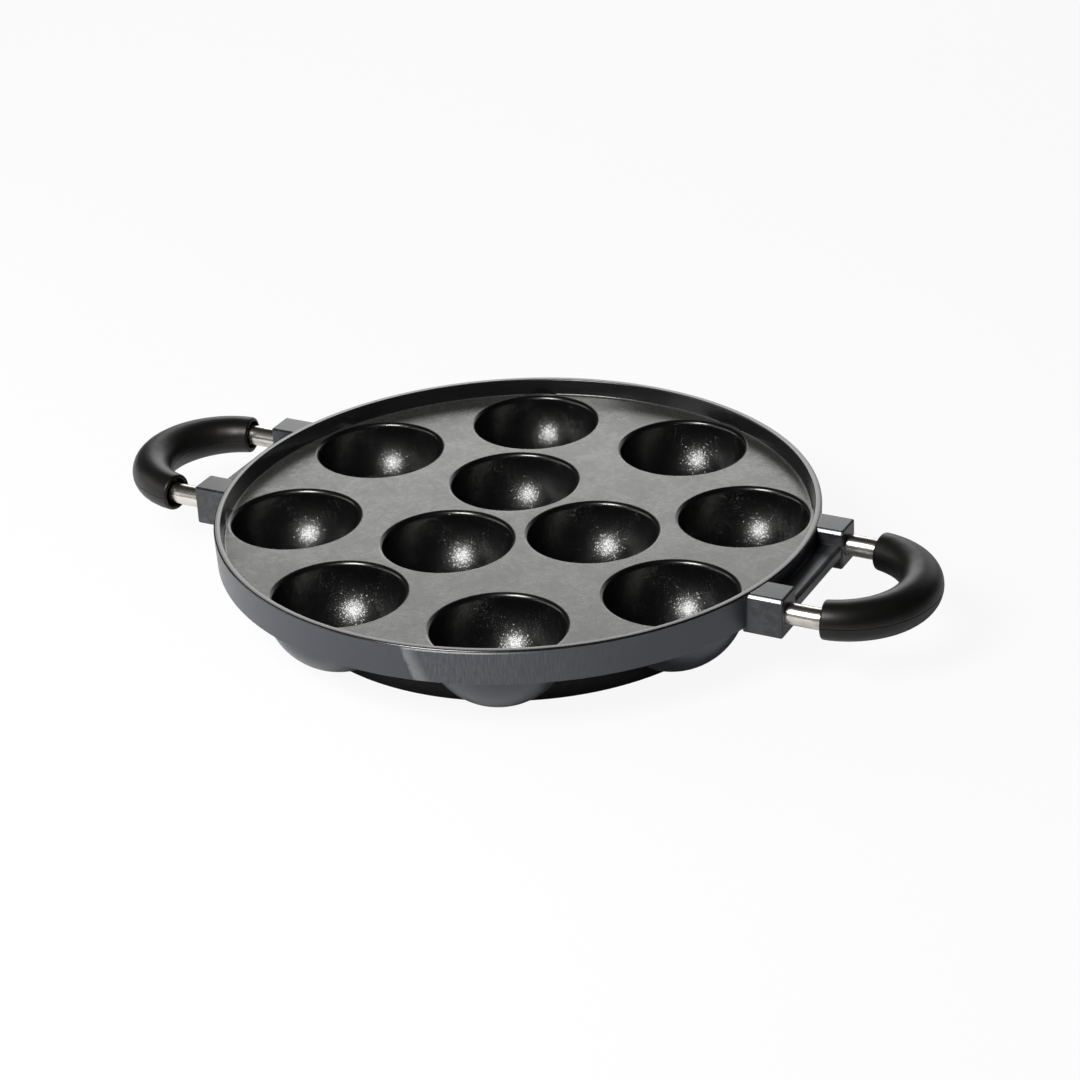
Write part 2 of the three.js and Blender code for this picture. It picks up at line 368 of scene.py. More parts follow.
def makeCasting(c):
    body = spunProfile("panCasting", plateProfile(c), c["spinSteps"])
    print("casting: plate, rim and base ring spun")

    # lugs and shelves, trimmed to stay out of the tray
    trimRadius = c["rimRadius"] - c["trayTrim"]
    trimProfile = [(0, 0), (trimRadius, 0), (trimRadius, c["trimHeight"]), (0, c["trimHeight"])]
    trim = spunProfile("trim", trimProfile, c["trimSteps"])
    half = c["lugSpacing"] / 2
    for turn in (0, math.pi):
        for block in (makeLug(c, -half), makeLug(c, half), makeShelf(c)):
            combine(block, copyOf(trim, "trimCopy"), "DIFFERENCE")
            combineTurned(body, block, turn, "UNION")
    bpy.data.objects.remove(trim)
    print("casting: lugs and shelves joined")

    for profile, operation in ((bulgeProfile(c), "UNION"), (bowlProfile(c), "DIFFERENCE")):
        cup = spunProfile("cup", profile, c["cupSteps"])
        for spot in cupPlaces(c):
            combine(body, copyOf(cup, "cupCopy", spot), operation)
        bpy.data.objects.remove(cup)
    print("casting: eleven cups sunk")

    for turn in (0, math.pi):
        for middle in (half, -half):
            combineTurned(body, rodSeat(c, middle), turn, "DIFFERENCE")
            combineTurned(body, pinHole(c, middle), turn, "DIFFERENCE")
    makeActive(body)
    bpy.ops.object.mode_set(mode="EDIT")
    closeUp(c["mergeGap"])
    smoothFinish(body, c["smoothAngle"])
    print("casting: finished,", len(body.data.polygons), "faces")
    return body


# A handle: a bent bright rod with a moulded grip in two halves round its bend

rodLow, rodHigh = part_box("right_handle_rod")
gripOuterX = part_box("right_grip_upper_half")[1].x

handle = {
    "rodRadius": (rodHigh.z - rodLow.z) / 2,
    "level": (rodHigh.z + rodLow.z) / 2,
    "legStart": rodLow.x,
    "bendRadius": (rodHigh.y - rodLow.y) / 2 - (rodHigh.z - rodLow.z) / 2,
    "rodEnd": 0.6 * mm,
    "rodSides": 32,
    "bendSteps": 56,
    "gripStart": 4 * mm,
    "gripEndRadius": 7.2 * mm,
    "gripEndEdge": 1 * mm,
    "mouthRadius": 5.7 * mm,
    "mouthDepth": 7 * mm,
    "mouthLip": 0.3 * mm,
    "mouthFillet": 0.4 * mm,
    "boreRadius": 4.2 * mm,
    "gripSides": 40,
    "gripSteps": 48,
    "edgeSteps": 4,
    "boreSteps": 16,
    "partingGap": 0.2 * mm,
    "partingEdge": 0.25 * mm,
    "partingNear": 0.01 * mm,
    "sweepGap": 0.005 * mm,
    "mergeGap": 0.001 * mm,
    "smoothAngle": 40,
}
handle["bendCentre"] = rodHigh.x - handle["rodRadius"] - handle["bendRadius"]
handle["gripMiddleRadius"] = gripOuterX - handle["bendCentre"] - handle["bendRadius"]


def makeRod(h, name):
    clearSelection()
    bpy.ops.mesh.primitive_circle_add(vertices=h["rodSides"], radius=h["rodRadius"], fill_type="NOTHING",
                                      location=(h["legStart"], -h["bendRadius"], h["level"]),
                                      rotation=(0, math.pi / 2, 0))
    piece = startPiece(name)
    leg = h["bendCentre"] - h["legStart"]
    bendMiddle = (h["bendCentre"], 0, h["level"])
    bpy.ops.mesh.select_all(action="SELECT")
    bpy.ops.mesh.extrude_region_move(TRANSFORM_OT_translate={"value": (leg, 0, 0)})
    bpy.ops.mesh.spin(steps=h["bendSteps"], angle=math.pi, center=bendMiddle, axis=(0, 0, -1))
    bpy.ops.mesh.extrude_region_move(TRANSFORM_OT_translate={"value": (-leg, 0, 0)})
    bpy.ops.mesh.select_all(action="SELECT")
    bpy.ops.mesh.fill_holes(sides=0)
    bevelEdges(lambda e: max(v.co.x for v in e.verts) < h["legStart"] + hair, h["rodEnd"], 2)
    closeUp()
    smoothFinish(piece, h["smoothAngle"])
    return piece


# Stations along the grip: angle round the bend from the grip's start, and radius
def gripStations(h):
    total = math.pi - 2 * h["gripStart"] / h["bendRadius"]
    toAngle = 1 / h["bendRadius"]
    edge, lip, fillet = h["gripEndEdge"], h["mouthLip"], h["mouthFillet"]
    mouth, bore = h["mouthRadius"], h["boreRadius"]
    deep = h["mouthDepth"] * toAngle
    first = [(deep, bore), (deep, mouth - fillet), (deep - fillet * toAngle, mouth)]
    first += [(lip * toAngle, mouth), (0, mouth + lip)]
    for i in range(h["edgeSteps"] + 1):
        t = math.radians(90 * i / h["edgeSteps"])
        first.append((edge * (1 - math.cos(t)) * toAngle, h["gripEndRadius"] - edge + edge * math.sin(t)))
    swell = h["gripMiddleRadius"] - h["gripEndRadius"]
    start = edge * toAngle
    middle = []
    for i in range(1, h["gripSteps"]):
        a = start + (total - 2 * start) * i / h["gripSteps"]
        middle.append((a, h["gripEndRadius"] + swell * math.sin(math.pi * a / total)))
    last = [(total - a, r) for a, r in reversed(first)]
    steps = h["boreSteps"]
    back = [(total - deep - (total - 2 * deep) * i / steps, bore) for i in range(1, steps + 1)]
    return first + middle + last + back


def makeGrip(h, name):
    begin = -math.pi / 2 + h["gripStart"] / h["bendRadius"]
    pivot = (h["bendCentre"], 0, h["level"])

    def onBend(turn):
        x = h["bendCentre"] + h["bendRadius"] * math.cos(turn)
        return (x, h["bendRadius"] * math.sin(turn), h["level"])

    clearSelection()
    stations = gripStations(h)
    angle, radius = stations[0]
    turn = begin + angle
    bpy.ops.mesh.primitive_circle_add(vertices=h["gripSides"], radius=radius, fill_type="NOTHING",
                                      location=onBend(turn), rotation=(math.pi / 2, 0, turn))
    piece = startPiece(name)
    bpy.ops.mesh.select_all(action="SELECT")
    for (oldAngle, oldRadius), (angle, radius) in zip(stations, stations[1:]):
        bpy.ops.mesh.extrude_region_move()
        bpy.ops.transform.rotate(value=-(angle - oldAngle), orient_axis="Z", center_override=pivot)
        factor = radius / oldRadius
        bpy.ops.transform.resize(value=(factor, factor, factor), center_override=onBend(begin + angle))
    closeUp(h["sweepGap"])
    print(name, "swept:", len(piece.data.polygons), "faces")
    return piece


# Half of the grip, with its edges at the parting line eased, apart from those of the bore
def gripHalf(h, whole, name, upper):
    piece = copyOf(whole, name)
    makeActive(piece)
    bpy.ops.object.mode_set(mode="EDIT")
    bpy.ops.mesh.select_all(action="SELECT")
    side = 1 if upper else -1
    level = h["level"] + side * h["partingGap"] / 2
    bpy.ops.mesh.bisect(plane_co=(0, 0, level), plane_no=(0, 0, 1), use_fill=True,
                        clear_inner=upper, clear_outer=not upper)

    def onParting(edge):
        flat = all(abs(v.co.z - level) < h["partingNear"] for v in edge.verts)
        fromMiddle = (edgeMiddle(edge) - Vector((h["bendCentre"], 0, level))).length
        outer = abs(fromMiddle - h["bendRadius"]) > h["mouthRadius"]
        return flat and len(edge.link_faces) == 2 and outer

    bevelEdges(onParting, h["partingEdge"], 2)
    closeUp(h["mergeGap"])
    smoothFinish(piece, h["smoothAngle"])
    return piece


panCasting = makeCasting(casting)

rightRod = makeRod(handle, "rightRod")
leftRod = copyOf(rightRod, "leftRod", turn=math.pi)
print("rods bent")

gripWhole = makeGrip(handle, "gripWhole")
rightGripUpper = gripHalf(handle, gripWhole, "rightGripUpper", True)
rightGripLower = gripHalf(handle, gripWhole, "rightGripLower", False)
leftGripUpper = copyOf(rightGripUpper, "leftGripUpper", turn=math.pi)
leftGripLower = copyOf(rightGripLower, "leftGripLower", turn=math.pi)
bpy.data.objects.remove(gripWhole)
print("grips parted into halves")

place(panCasting, "coated_casting", "pan_casting")
place(rightRod, "bright_rod", "right_handle_rod")
place(leftRod, "bright_rod", "left_handle_rod")
place(rightGripUpper, "grip_plastic", "right_grip_upper_half")
place(rightGripLower, "grip_plastic", "right_grip_lower_half")
place(leftGripUpper, "grip_plastic", "left_grip_upper_half")
place(leftGripLower, "grip_plastic", "left_grip_lower_half")


# Shader maths: a wired socket with the usual operators

class Wire:
    def __init__(self, finish, socket):
        self.finish = finish
        self.socket = socket

    def __add__(self, other):
        return self.finish.maths("ADD", self, other)

    def __radd__(self, other):
        return self.finish.maths("ADD", other, self)

    def __sub__(self, other):
        return self.finish.maths("SUBTRACT", self, other)

    def __rsub__(self, other):
        return self.finish.maths("SUBTRACT", other, self)

    def __mul__(self, other):
        return self.finish.maths("MULTIPLY", self, other)

    def __rmul__(self, other):
        return self.finish.maths("MULTIPLY", other, self)

    def __truediv__(self, other):
        return self.finish.maths("DIVIDE", self, other)

    def __pow__(self, other):
        return self.finish.maths("POWER", self, other)


def shared(first, second, share):
    return first * share + second * (1 - share)


def rgb(red, green, blue):
    return (red, green, blue, 1)


class Finish:
    def __init__(self, holder):
        holder.use_nodes = True
        self.tree = holder.node_tree
        self.tree.nodes.clear()

    # one node: its type, its settings, its sockets by name or number, and the outputs that are wanted
    def node(self, kind, settings, sockets, outputs=(0,)):
        made = self.tree.nodes.new(kind)
        for key, value in settings.items():
            setattr(made, key, value)
        for key, value in sockets.items():
            if isinstance(value, Wire):
                self.tree.links.new(value.socket, made.inputs[key])
            else:
                made.inputs[key].default_value = value
        wires = [Wire(self, made.outputs[key]) for key in outputs]
        return wires[0] if len(wires) == 1 else wires

    def maths(self, operation, *values):
        return self.node("ShaderNodeMath", {"operation": operation}, dict(enumerate(values)))

    def coordinates(self, name="Object"):
        return self.node("ShaderNodeTexCoord", {}, {}, (name,))

    def split(self, vector):
        return self.node("ShaderNodeSeparateXYZ", {}, {0: vector}, ("X", "Y", "Z"))

    def joined(self, x, y, z):
        return self.node("ShaderNodeCombineXYZ", {}, {0: x, 1: y, 2: z})

    def vectorMaths(self, operation, first, second, output="Vector"):
        return self.node("ShaderNodeVectorMath", {"operation": operation}, {0: first, 1: second}, (output,))

    def noise(self, vector, scale, detail, rough):
        sockets = {"Vector": vector, "Scale": scale, "Detail": detail, "Roughness": rough}
        return self.node("ShaderNodeTexNoise", {}, sockets, ("Fac",))

    def ease(self, value, low, high, start=0.0, end=1.0):
        return self.node("ShaderNodeMapRange", {"interpolation_type": "SMOOTHSTEP"},
                         {"Value": value, "From Min": low, "From Max": high, "To Min": start, "To Max": end})

    # a mask across an edge: nothing at the first distance from it, full at the second
    def fade(self, value, edge, ends):
        return self.ease(value, edge + ends[0], edge + ends[1])

    def mixColour(self, factor, first, second):
        return self.node("ShaderNodeMix", {"data_type": "RGBA"}, {0: factor, 6: first, 7: second}, (2,))

    # small flat facets, each tilted its own way: height in the vector's own unit
    def facets(self, vector, k):
        centre, chance = self.node("ShaderNodeTexVoronoi", {}, {"Vector": vector, "Scale": k["scale"]},
                                   ("Position", "Color"))
        offset = self.vectorMaths("SUBTRACT", vector, centre)
        slope = self.vectorMaths("SUBTRACT", chance, (0.5, 0.5, 0.5))
        height = self.vectorMaths("DOT_PRODUCT", offset, slope, "Value")
        red, green, blue = self.split(chance)
        stirRed, stirGreen, stirBlue = k["stir"]
        newChance = self.maths("FRACT", red * stirRed + green * stirGreen + blue * stirBlue)
        steep = newChance ** k["steepPower"]  # a few facets are steeper
        return height * (steep * k["steepShare"] + k["plainShare"]) * k["tilt"]

    # heights are in units of the distance
    def bump(self, height, distance=mm):
        return self.node("ShaderNodeBump", {}, {"Height": height, "Strength": 1.0, "Distance": distance})

    def shader(self, sockets):
        return self.node("ShaderNodeBsdfPrincipled", {}, sockets)

    def mixShader(self, factor, first, second):
        return self.node("ShaderNodeMixShader", {}, {0: factor, 1: first, 2: second})

    def output(self, surface, kind="ShaderNodeOutputMaterial"):
        self.node(kind, {}, {"Surface": surface}, ())


# The casting's finish: grained coating inside, paint outside, soot below; heights are in millimetres

coat = {
    # the plate's colours: real mottle, on a coat painted paler than in the cups and on the inner wall, which
    # is a painted sheen
    "plate": rgb(0.026, 0.026, 0.025),
    "plateCloud": rgb(0.068, 0.068, 0.064),
    "innerWall": rgb(0.0080, 0.0080, 0.0090),
    "cup": rgb(0.0020, 0.0019, 0.0020),
    "rimLandPale": rgb(0.14, 0.14, 0.136),
    "lug": rgb(0.008, 0.008, 0.009),
    "lugWorn": rgb(0.036, 0.037, 0.041),
    # the lugs' top faces, painted lighter than their sides: a painted sheen, mottled
    "lugTop": rgb(0.044, 0.043, 0.041),
    "wall": rgb(0.013, 0.0155, 0.023),
    "wallStreak": rgb(0.060, 0.062, 0.068),
    "scuff": rgb(0.20, 0.20, 0.20),
    "rubbed": rgb(0.42, 0.42, 0.41),
    # a pale band on the lugs' chamfers: a painted highlight
    "chamferHighlight": rgb(0.16, 0.16, 0.16),
    "soot": rgb(0.028, 0.028, 0.030),
    "coatTint": rgb(1.0, 1.0, 0.975),
    "paintTint": rgb(0.93, 0.96, 1.0),
    "plateIor": 1.85,
    "plateRough": 0.29,
    "plateRoughSpread": 0.08,
    "plateGrain": 0.025,
    "plateWave": 0.016,
    "wallInRough": 0.22,
    "cupIor": 1.8,
    "cupRough": 0.27,
    "cupRoughSpread": 0.06,
    "sparkle": 0.44,
    "sparkleRough": 0.12,
    "sparkleRoughSpread": 0.04,
    "paintIor": 1.75,
    "paintGrain": 0.012,
    "paintWave": 0.0125,
    "wallRough": 0.32,
    "wallRoughSpread": 0.12,
    "scuffRough": 0.10,
    "streakRough": 0.08,
    "streakDepth": 0.03,
    "streakStretch": 110.0,
    "chamferRough": 0.16,
    "sootIor": 1.3,
    "sootRough": 0.6,
    "sootRoughSpread": 0.3,
    "sootGrain": 0.03,
    # how much of the shelves' inner part gets the painted shade
    "shelfShade": 0.85,
}
coat["facets"] = {
    "scale": 2700.0,
    "tilt": 0.28,
    "stir": (13.0, 29.0, 7.0),
    "steepPower": 6.0,
    "steepShare": 1.2,
    "plainShare": 0.8,
}
coat["noises"] = {  # scale, detail and roughness
    "tooth": (1000.0, 2.0, 0.5),
    "salt": (1150.0, 1.0, 0.5),
    "mottle": (420.0, 3.0, 0.55),
    "cloud": (75.0, 4.0, 0.6),
    "patch": (45.0, 3.0, 0.5),
    "streak": (1.8, 3.0, 0.7),
}
coat["ranges"] = {  # parts of a noise that count, and the least and most they give
    "cloudy": (0.36, 0.66),
    "salt": (0.32, 0.68),
    "lugWorn": (0.40, 0.60),
    "lugTop": (0.25, 0.70, 0.35, 1.0),
    "polished": (0.40, 0.50, 0.35, 1.0),
    "brushed": (0.35, 0.75),
    "rubbed": (0.80, 1.05),
}
coat["shares"] = {  # how much the first of two counts
    "cloudy": 0.5,
    "plate": 0.4,
    "lugWorn": 0.5,
    "polished": 0.7,
    "brushedPlain": 0.15,
    "rimPlain": 0.45,
}
coat["scuffMark"] = {  # angles round the rim, in radians
    "top": math.radians(-83.5),
    "foot": math.radians(-81.2),
    "slant": 1.3,
    "raggedMottle": 0.016,
    "raggedPatch": 0.012,
    "raggedStreak": 0.020,
    "markStart": (-0.006, 0.006),
    "markEnd": (0.050, 0.006),
    "markSpread": 0.012,
    "markPlain": 0.35,
    "markMottle": 0.6,
    "wornStart": (-0.004, 0.02),
    "wornEnd": (0.80, 0.10),
    "rubbedStart": (0.0, 0.02),
    "rubbedEnd": (0.45, 0.20),
}
coat["fades"] = {  # from each edge: where the mask starts and where it is full
    "cupLip": (1.6 * mm, 1.1 * mm),
    "bowl": (0.35 * mm, 0.05 * mm),
    "lugs": (0.1 * mm, 0.3 * mm),
    "wallTop": (0.3 * mm, -0.1 * mm),
    "wallSide": (-2.0 * mm, -1.6 * mm),
    "under": (-1.5 * mm, -2.5 * mm),
    "floor": (0.6 * mm, 0.2 * mm),
    "soot": (3 * mm, 1 * mm),
    "chamferSide": (0.05 * mm, -0.1 * mm),
    "chamferLow": (-0.05 * mm, 0.1 * mm),
    "polishSide": (0.7 * mm, 0.5 * mm),
    "polishLow": (-0.3 * mm, -0.1 * mm),
    "squareSide": (-0.9 * mm, -0.7 * mm),
    "squareTop": (-0.8 * mm, -0.6 * mm),
    "lugTop": (-0.15 * mm, -0.05 * mm),
    "shelfSide": (-0.2 * mm, -0.5 * mm),
    "shelfFront": (-1.5 * mm, -5 * mm),
    "rubbedTop": (-0.7 * mm, -0.35 * mm),
    "rimLineIn": (-2.5 * mm, -2.2 * mm),
    "rimLineOut": (-1.1 * mm, -1.5 * mm),
    "rimLineTop": (-0.5 * mm, -0.2 * mm),
}


# Distance across from the nearest cup of a circle, with the circle folded to one cup
def acrossFromCup(f, radius, angle, count, circle, shift):
    sector = 2 * math.pi / count
    turn = f.maths("FRACT", angle / sector + shift) * sector - sector / 2
    alongX = radius * f.maths("COSINE", turn) - circle
    alongY = radius * f.maths("SINE", turn)
    return (alongX * alongX + alongY * alongY) ** 0.5


def coatedCasting(c, k):
    material = bpy.data.materials.new("coatedCasting")
    f = Finish(material)
    fades, ranges, shares, scuff = k["fades"], k["ranges"], k["shares"], k["scuffMark"]
    where = f.coordinates()
    x, y, z = f.split(where)
    radius = (x * x + y * y) ** 0.5
    angle = f.maths("ARCTAN2", y, x)

    # the shifts keep each cup in the middle of its sector, and the angle above nought
    outer = acrossFromCup(f, radius, angle, c["outerCups"], c["outerCircle"], 8.0)
    inner = acrossFromCup(f, radius, angle, c["innerCups"], c["innerCircle"], 3.5)
    near = f.maths("MINIMUM", outer, inner)
    rise = z - (c["plateTop"] - c["cupSink"])
    fromCup = (near * near + rise * rise) ** 0.5
    inCup = f.fade(fromCup, c["cupRadius"], fades["cupLip"])
    inBowl = f.fade(fromCup, c["cupRadius"], fades["bowl"])

    # the outside: lugs and shelves, the wall below the rim's round, and all that is under the plate
    wallTop = c["rimTop"] - c["rimEdge"]
    lugs = f.fade(radius, c["rimRadius"], fades["lugs"])
    wall = f.fade(z, wallTop, fades["wallTop"]) * f.fade(radius, c["rimRadius"], fades["wallSide"])
    under = f.fade(z, c["plateTop"], fades["under"]) * (1 - inCup)
    outside = f.maths("MAXIMUM", f.maths("MAXIMUM", lugs, wall), under)
    onFloor = f.fade(z, c["plateTop"], fades["floor"])

    # the two long top edges of each lug, with both sides of the pan folded to one
    across = y * f.maths("SIGN", x)
    fromLug = across - f.maths("SIGN", across) * (c["lugSpacing"] / 2)
    chamferIn = c["chamferDepth"] - c["lugWidth"] / 2
    chamferLow = c["lugTop"] - c["chamferHeight"]
    # the steep chamfer along each lug's top edge, where a highlight is painted
    chamferHighlight = f.fade(fromLug, chamferIn, fades["chamferSide"])
    chamferHighlight = chamferHighlight * f.fade(z, chamferLow, fades["chamferLow"]) * lugs
    polished = f.fade(fromLug, chamferIn, fades["polishSide"])
    polished = polished * f.fade(z, chamferLow, fades["polishLow"]) * lugs
    squareEdge = f.fade(fromLug, c["lugWidth"] / 2, fades["squareSide"])
    squareEdge = squareEdge * f.fade(z, c["lugTop"], fades["squareTop"]) * lugs
    polished = f.maths("MAXIMUM", polished, squareEdge)
    # the lugs' top faces, which get a mottled painted sheen
    lugTopSheen = f.fade(z, c["lugTop"], fades["lugTop"]) * lugs

    # soot on the underside as far as the ring, and painted shade on the inner part of each shelf, towards the
    # wall
    shelfHalf = (c["lugSpacing"] - c["lugWidth"]) / 2
    shelf = f.fade(f.maths("ABSOLUTE", across), shelfHalf, fades["shelfSide"]) * lugs
    shelf = shelf * f.fade(f.maths("ABSOLUTE", x), c["shelfFace"], fades["shelfFront"])
    sootAndShelfShade = f.fade(radius, c["ringOuter"], fades["soot"])
    sootAndShelfShade = f.maths("MAXIMUM", sootAndShelfShade, shelf * k["shelfShade"])

    tooth, salt, mottle, cloud, patch = (f.noise(where, *k["noises"][name])
                                         for name in ("tooth", "salt", "mottle", "cloud", "patch"))
    around = f.joined(angle * (c["rimRadius"] / mm), z * k["streakStretch"], 0.0)
    streak = f.noise(around, *k["noises"]["streak"])
    grain = f.facets(where, k["facets"]) / mm

    # scuff on the front wall: a slanting pale mark, brushed wear beside it and a rubbed top edge
    along = (c["rimTop"] - z) / (c["rimTop"] - c["wallFoot"])
    line = angle - (along ** scuff["slant"] * (scuff["foot"] - scuff["top"]) + scuff["top"])
    ragged = line + (mottle - 0.5) * scuff["raggedMottle"] + (patch - 0.5) * scuff["raggedPatch"]
    ragged = ragged + (streak - 0.5) * scuff["raggedStreak"]
    markEnd = f.ease(ragged - along * scuff["markSpread"], *scuff["markEnd"])
    mark = f.ease(ragged, *scuff["markStart"]) * markEnd
    scuffed = mark * (scuff["markPlain"] + scuff["markMottle"] * mottle) * wall
    worn = f.ease(ragged, *scuff["wornStart"]) * f.ease(line, *scuff["wornEnd"])
    brushedPlain = shares["brushedPlain"]
    brushed = f.ease(streak, *ranges["brushed"]) * (brushedPlain + (1 - brushedPlain) * worn) * wall
    rubbed = f.fade(z, wallTop, fades["rubbedTop"]) * f.ease(ragged, *scuff["rubbedStart"])
    rubbed = rubbed * f.ease(line, *scuff["rubbedEnd"]) * f.ease(streak + patch, *ranges["rubbed"]) * wall

    # a paler line along the rim's land
    rimLine = f.fade(radius, c["rimRadius"], fades["rimLineIn"])
    rimLine = rimLine * f.fade(radius, c["rimRadius"], fades["rimLineOut"])
    rimLine = rimLine * f.fade(z, c["rimTop"], fades["rimLineTop"])
    rimPlain = shares["rimPlain"]
    cloudy = f.ease(shared(mottle, cloud, shares["cloudy"]), *ranges["cloudy"])
    salty = f.ease(salt, *ranges["salt"])
    # the plate's colour: real mottle and grain over a painted sheen, paler than the same coat in the cups and
    # on the inner wall
    plateMottleAndSheen = f.mixColour(shared(cloudy, salty, shares["plate"]), k["plate"], k["plateCloud"])
    inColour = f.mixColour(onFloor, k["innerWall"], plateMottleAndSheen)
    inColour = f.mixColour(rimLine * (rimPlain + (1 - rimPlain) * patch), inColour, k["rimLandPale"])

    lugWorn = f.ease(shared(mottle, patch, shares["lugWorn"]), *ranges["lugWorn"])
    lugColour = f.mixColour(lugWorn, k["lug"], k["lugWorn"])
    lugColour = f.mixColour(lugTopSheen * f.ease(mottle, *ranges["lugTop"]), lugColour, k["lugTop"])
    outColour = f.mixColour(lugs, k["wall"], lugColour)
    outColour = f.mixColour(brushed * (1 - lugs), outColour, k["wallStreak"])
    outColour = f.mixColour(scuffed, outColour, k["scuff"])
    outColour = f.mixColour(rubbed, outColour, k["rubbed"])
    # painted highlight on the chamfers
    outColour = f.mixColour(chamferHighlight, outColour, k["chamferHighlight"])

    # the coating, with a soft gloss and a sparkle of facets in the cups
    height = (tooth * k["plateGrain"] + mottle * k["plateWave"]) * (onFloor * (1 - inCup))
    plateRough = k["plateRough"] - k["wallInRough"] + k["plateRoughSpread"] * (0.5 - cloudy)
    coating = f.shader({"Base Color": inColour, "Roughness": k["wallInRough"] + plateRough * onFloor,
                        "IOR": k["plateIor"], "Specular Tint": k["coatTint"], "Normal": f.bump(height)})
    glossRough = k["cupRough"] + k["cupRoughSpread"] * tooth
    gloss = f.shader({"Base Color": k["cup"], "Roughness": glossRough, "IOR": k["cupIor"],
                      "Specular Tint": k["coatTint"]})
    sparkleRough = k["sparkleRough"] + k["sparkleRoughSpread"] * tooth
    sparkle = f.shader({"Base Color": k["cup"], "Roughness": sparkleRough, "IOR": k["cupIor"],
                        "Specular Tint": k["coatTint"], "Normal": f.bump(grain * inBowl)})
    coating = f.mixShader(inCup, coating, f.mixShader(k["sparkle"], gloss, sparkle))

    # the paint, smoother where a lug's edge is polished, and the soot, which on the shelves carries their
    # painted shade
    outHeight = tooth * k["paintGrain"] + mottle * k["paintWave"] + streak * wall * k["streakDepth"]
    outRough = k["wallRough"] + k["wallRoughSpread"] * (mottle - 0.5) + k["scuffRough"] * scuffed
    outRough = outRough + k["streakRough"] * (streak - 0.5) * wall
    smooth = polished * f.ease(shared(mottle, cloud, shares["polished"]), *ranges["polished"])
    outRough = outRough * (1 - smooth) + k["chamferRough"] * smooth
    paint = f.shader({"Base Color": outColour, "Roughness": outRough, "IOR": k["paintIor"],
                      "Specular Tint": k["paintTint"], "Normal": f.bump(outHeight)})
    # on the shelves, the cups' near-black colour is painted shade
    soot = f.shader({"Base Color": f.mixColour(shelf, k["soot"], k["cup"]), "IOR": k["sootIor"],
                     "Roughness": k["sootRough"] + k["sootRoughSpread"] * mottle,
                     "Normal": f.bump(tooth * k["sootGrain"])})
    f.output(f.mixShader(outside, coating, f.mixShader(sootAndShelfShade, paint, soot)))
    return material


rodSteel = {
    "bright": rgb(0.82, 0.79, 0.73),
    "dull": rgb(0.60, 0.56, 0.50),
    "dullRange": (0.35, 0.75),
    "rough": 0.22,
    "roughSpread": 0.10,
    "fine": (900.0, 3.0, 0.6),
    "cloud": (160.0, 3.0, 0.5),
    "fineDepth": 0.002 * mm,
}


def brightRod(k):
    material = bpy.data.materials.new("brightRod")
    f = Finish(material)
    where = f.coordinates()
    fine = f.noise(where, *k["fine"])
    cloud = f.noise(where, *k["cloud"])
    colour = f.mixColour(f.ease(cloud, *k["dullRange"]), k["bright"], k["dull"])
    rough = k["rough"] + k["roughSpread"] * cloud
    f.output(f.shader({"Base Color": colour, "Metallic": 1.0, "Roughness": rough,
                       "Normal": f.bump(fine, k["fineDepth"])}))
    return material


moulding = {
    "dark": rgb(0.0036, 0.0034, 0.0033),
    "pale": rgb(0.0075, 0.0070, 0.0066),
    "tint": rgb(1.0, 0.96, 0.94),
    "ior": 1.45,
    "rough": 0.34,
    "roughSpread": 0.1,
    "fine": (1300.0, 2.0, 0.6),
    "dimple": (330.0, 2.0, 0.5),
    "wave": (60.0, 2.0, 0.5),
    "fineDepth": 0.03,
    "dimpleDepth": 0.06,
    "waveDepth": 0.24,
}


def gripPlastic(k):
    material = bpy.data.materials.new("gripPlastic")
    f = Finish(material)
    where = f.coordinates()
    fine, dimple, wave = (f.noise(where, *k[name]) for name in ("fine", "dimple", "wave"))
    height = fine * k["fineDepth"] + dimple * k["dimpleDepth"] + wave * k["waveDepth"]
    f.output(f.shader({"Base Color": f.mixColour(fine, k["dark"], k["pale"]), "IOR": k["ior"],
                       "Roughness": k["rough"] + k["roughSpread"] * wave, "Specular Tint": k["tint"],
                       "Normal": f.bump(height)}))
    return material


pinMetal = {
    "dark": rgb(0.42, 0.41, 0.40),
    "pale": rgb(0.55, 0.54, 0.53),
    "rough": 0.25,
    "roughSpread": 0.2,
    "fine": (2500.0, 2.0, 0.5),
}


def pinSteel(k):
    material = bpy.data.materials.new("pinSteel")
    f = Finish(material)
    fine = f.noise(f.coordinates(), *k["fine"])
    f.output(f.shader({"Base Color": f.mixColour(fine, k["dark"], k["pale"]), "Metallic": 1.0,
                       "Roughness": k["rough"] + k["roughSpread"] * fine}))
    return material


def dress(material, *pieces):
    for piece in pieces:
        piece.data.materials.clear()
        piece.data.materials.append(material)


dress(coatedCasting(casting, coat), panCasting)
dress(brightRod(rodSteel), rightRod, leftRod)
dress(gripPlastic(moulding), rightGripUpper, rightGripLower, leftGripUpper, leftGripLower)
dress(pinSteel(pinMetal), *(node for name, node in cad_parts.items() if "lock_pin" in name))
print("finishes made")


# Camera at the photograph's viewing angle

view = {
    "azimuth": math.radians(28.26),
    "elevation": math.radians(27.24),
    "roll": math.radians(-2.91),
    "lens": 99.38,
    "sensor": 36,
    "clipStart": 0.01,
    "distance": 1114.8 * mm,
    "target": Vector((16.27 * mm, -13.66 * mm, casting["plateTop"])),
}


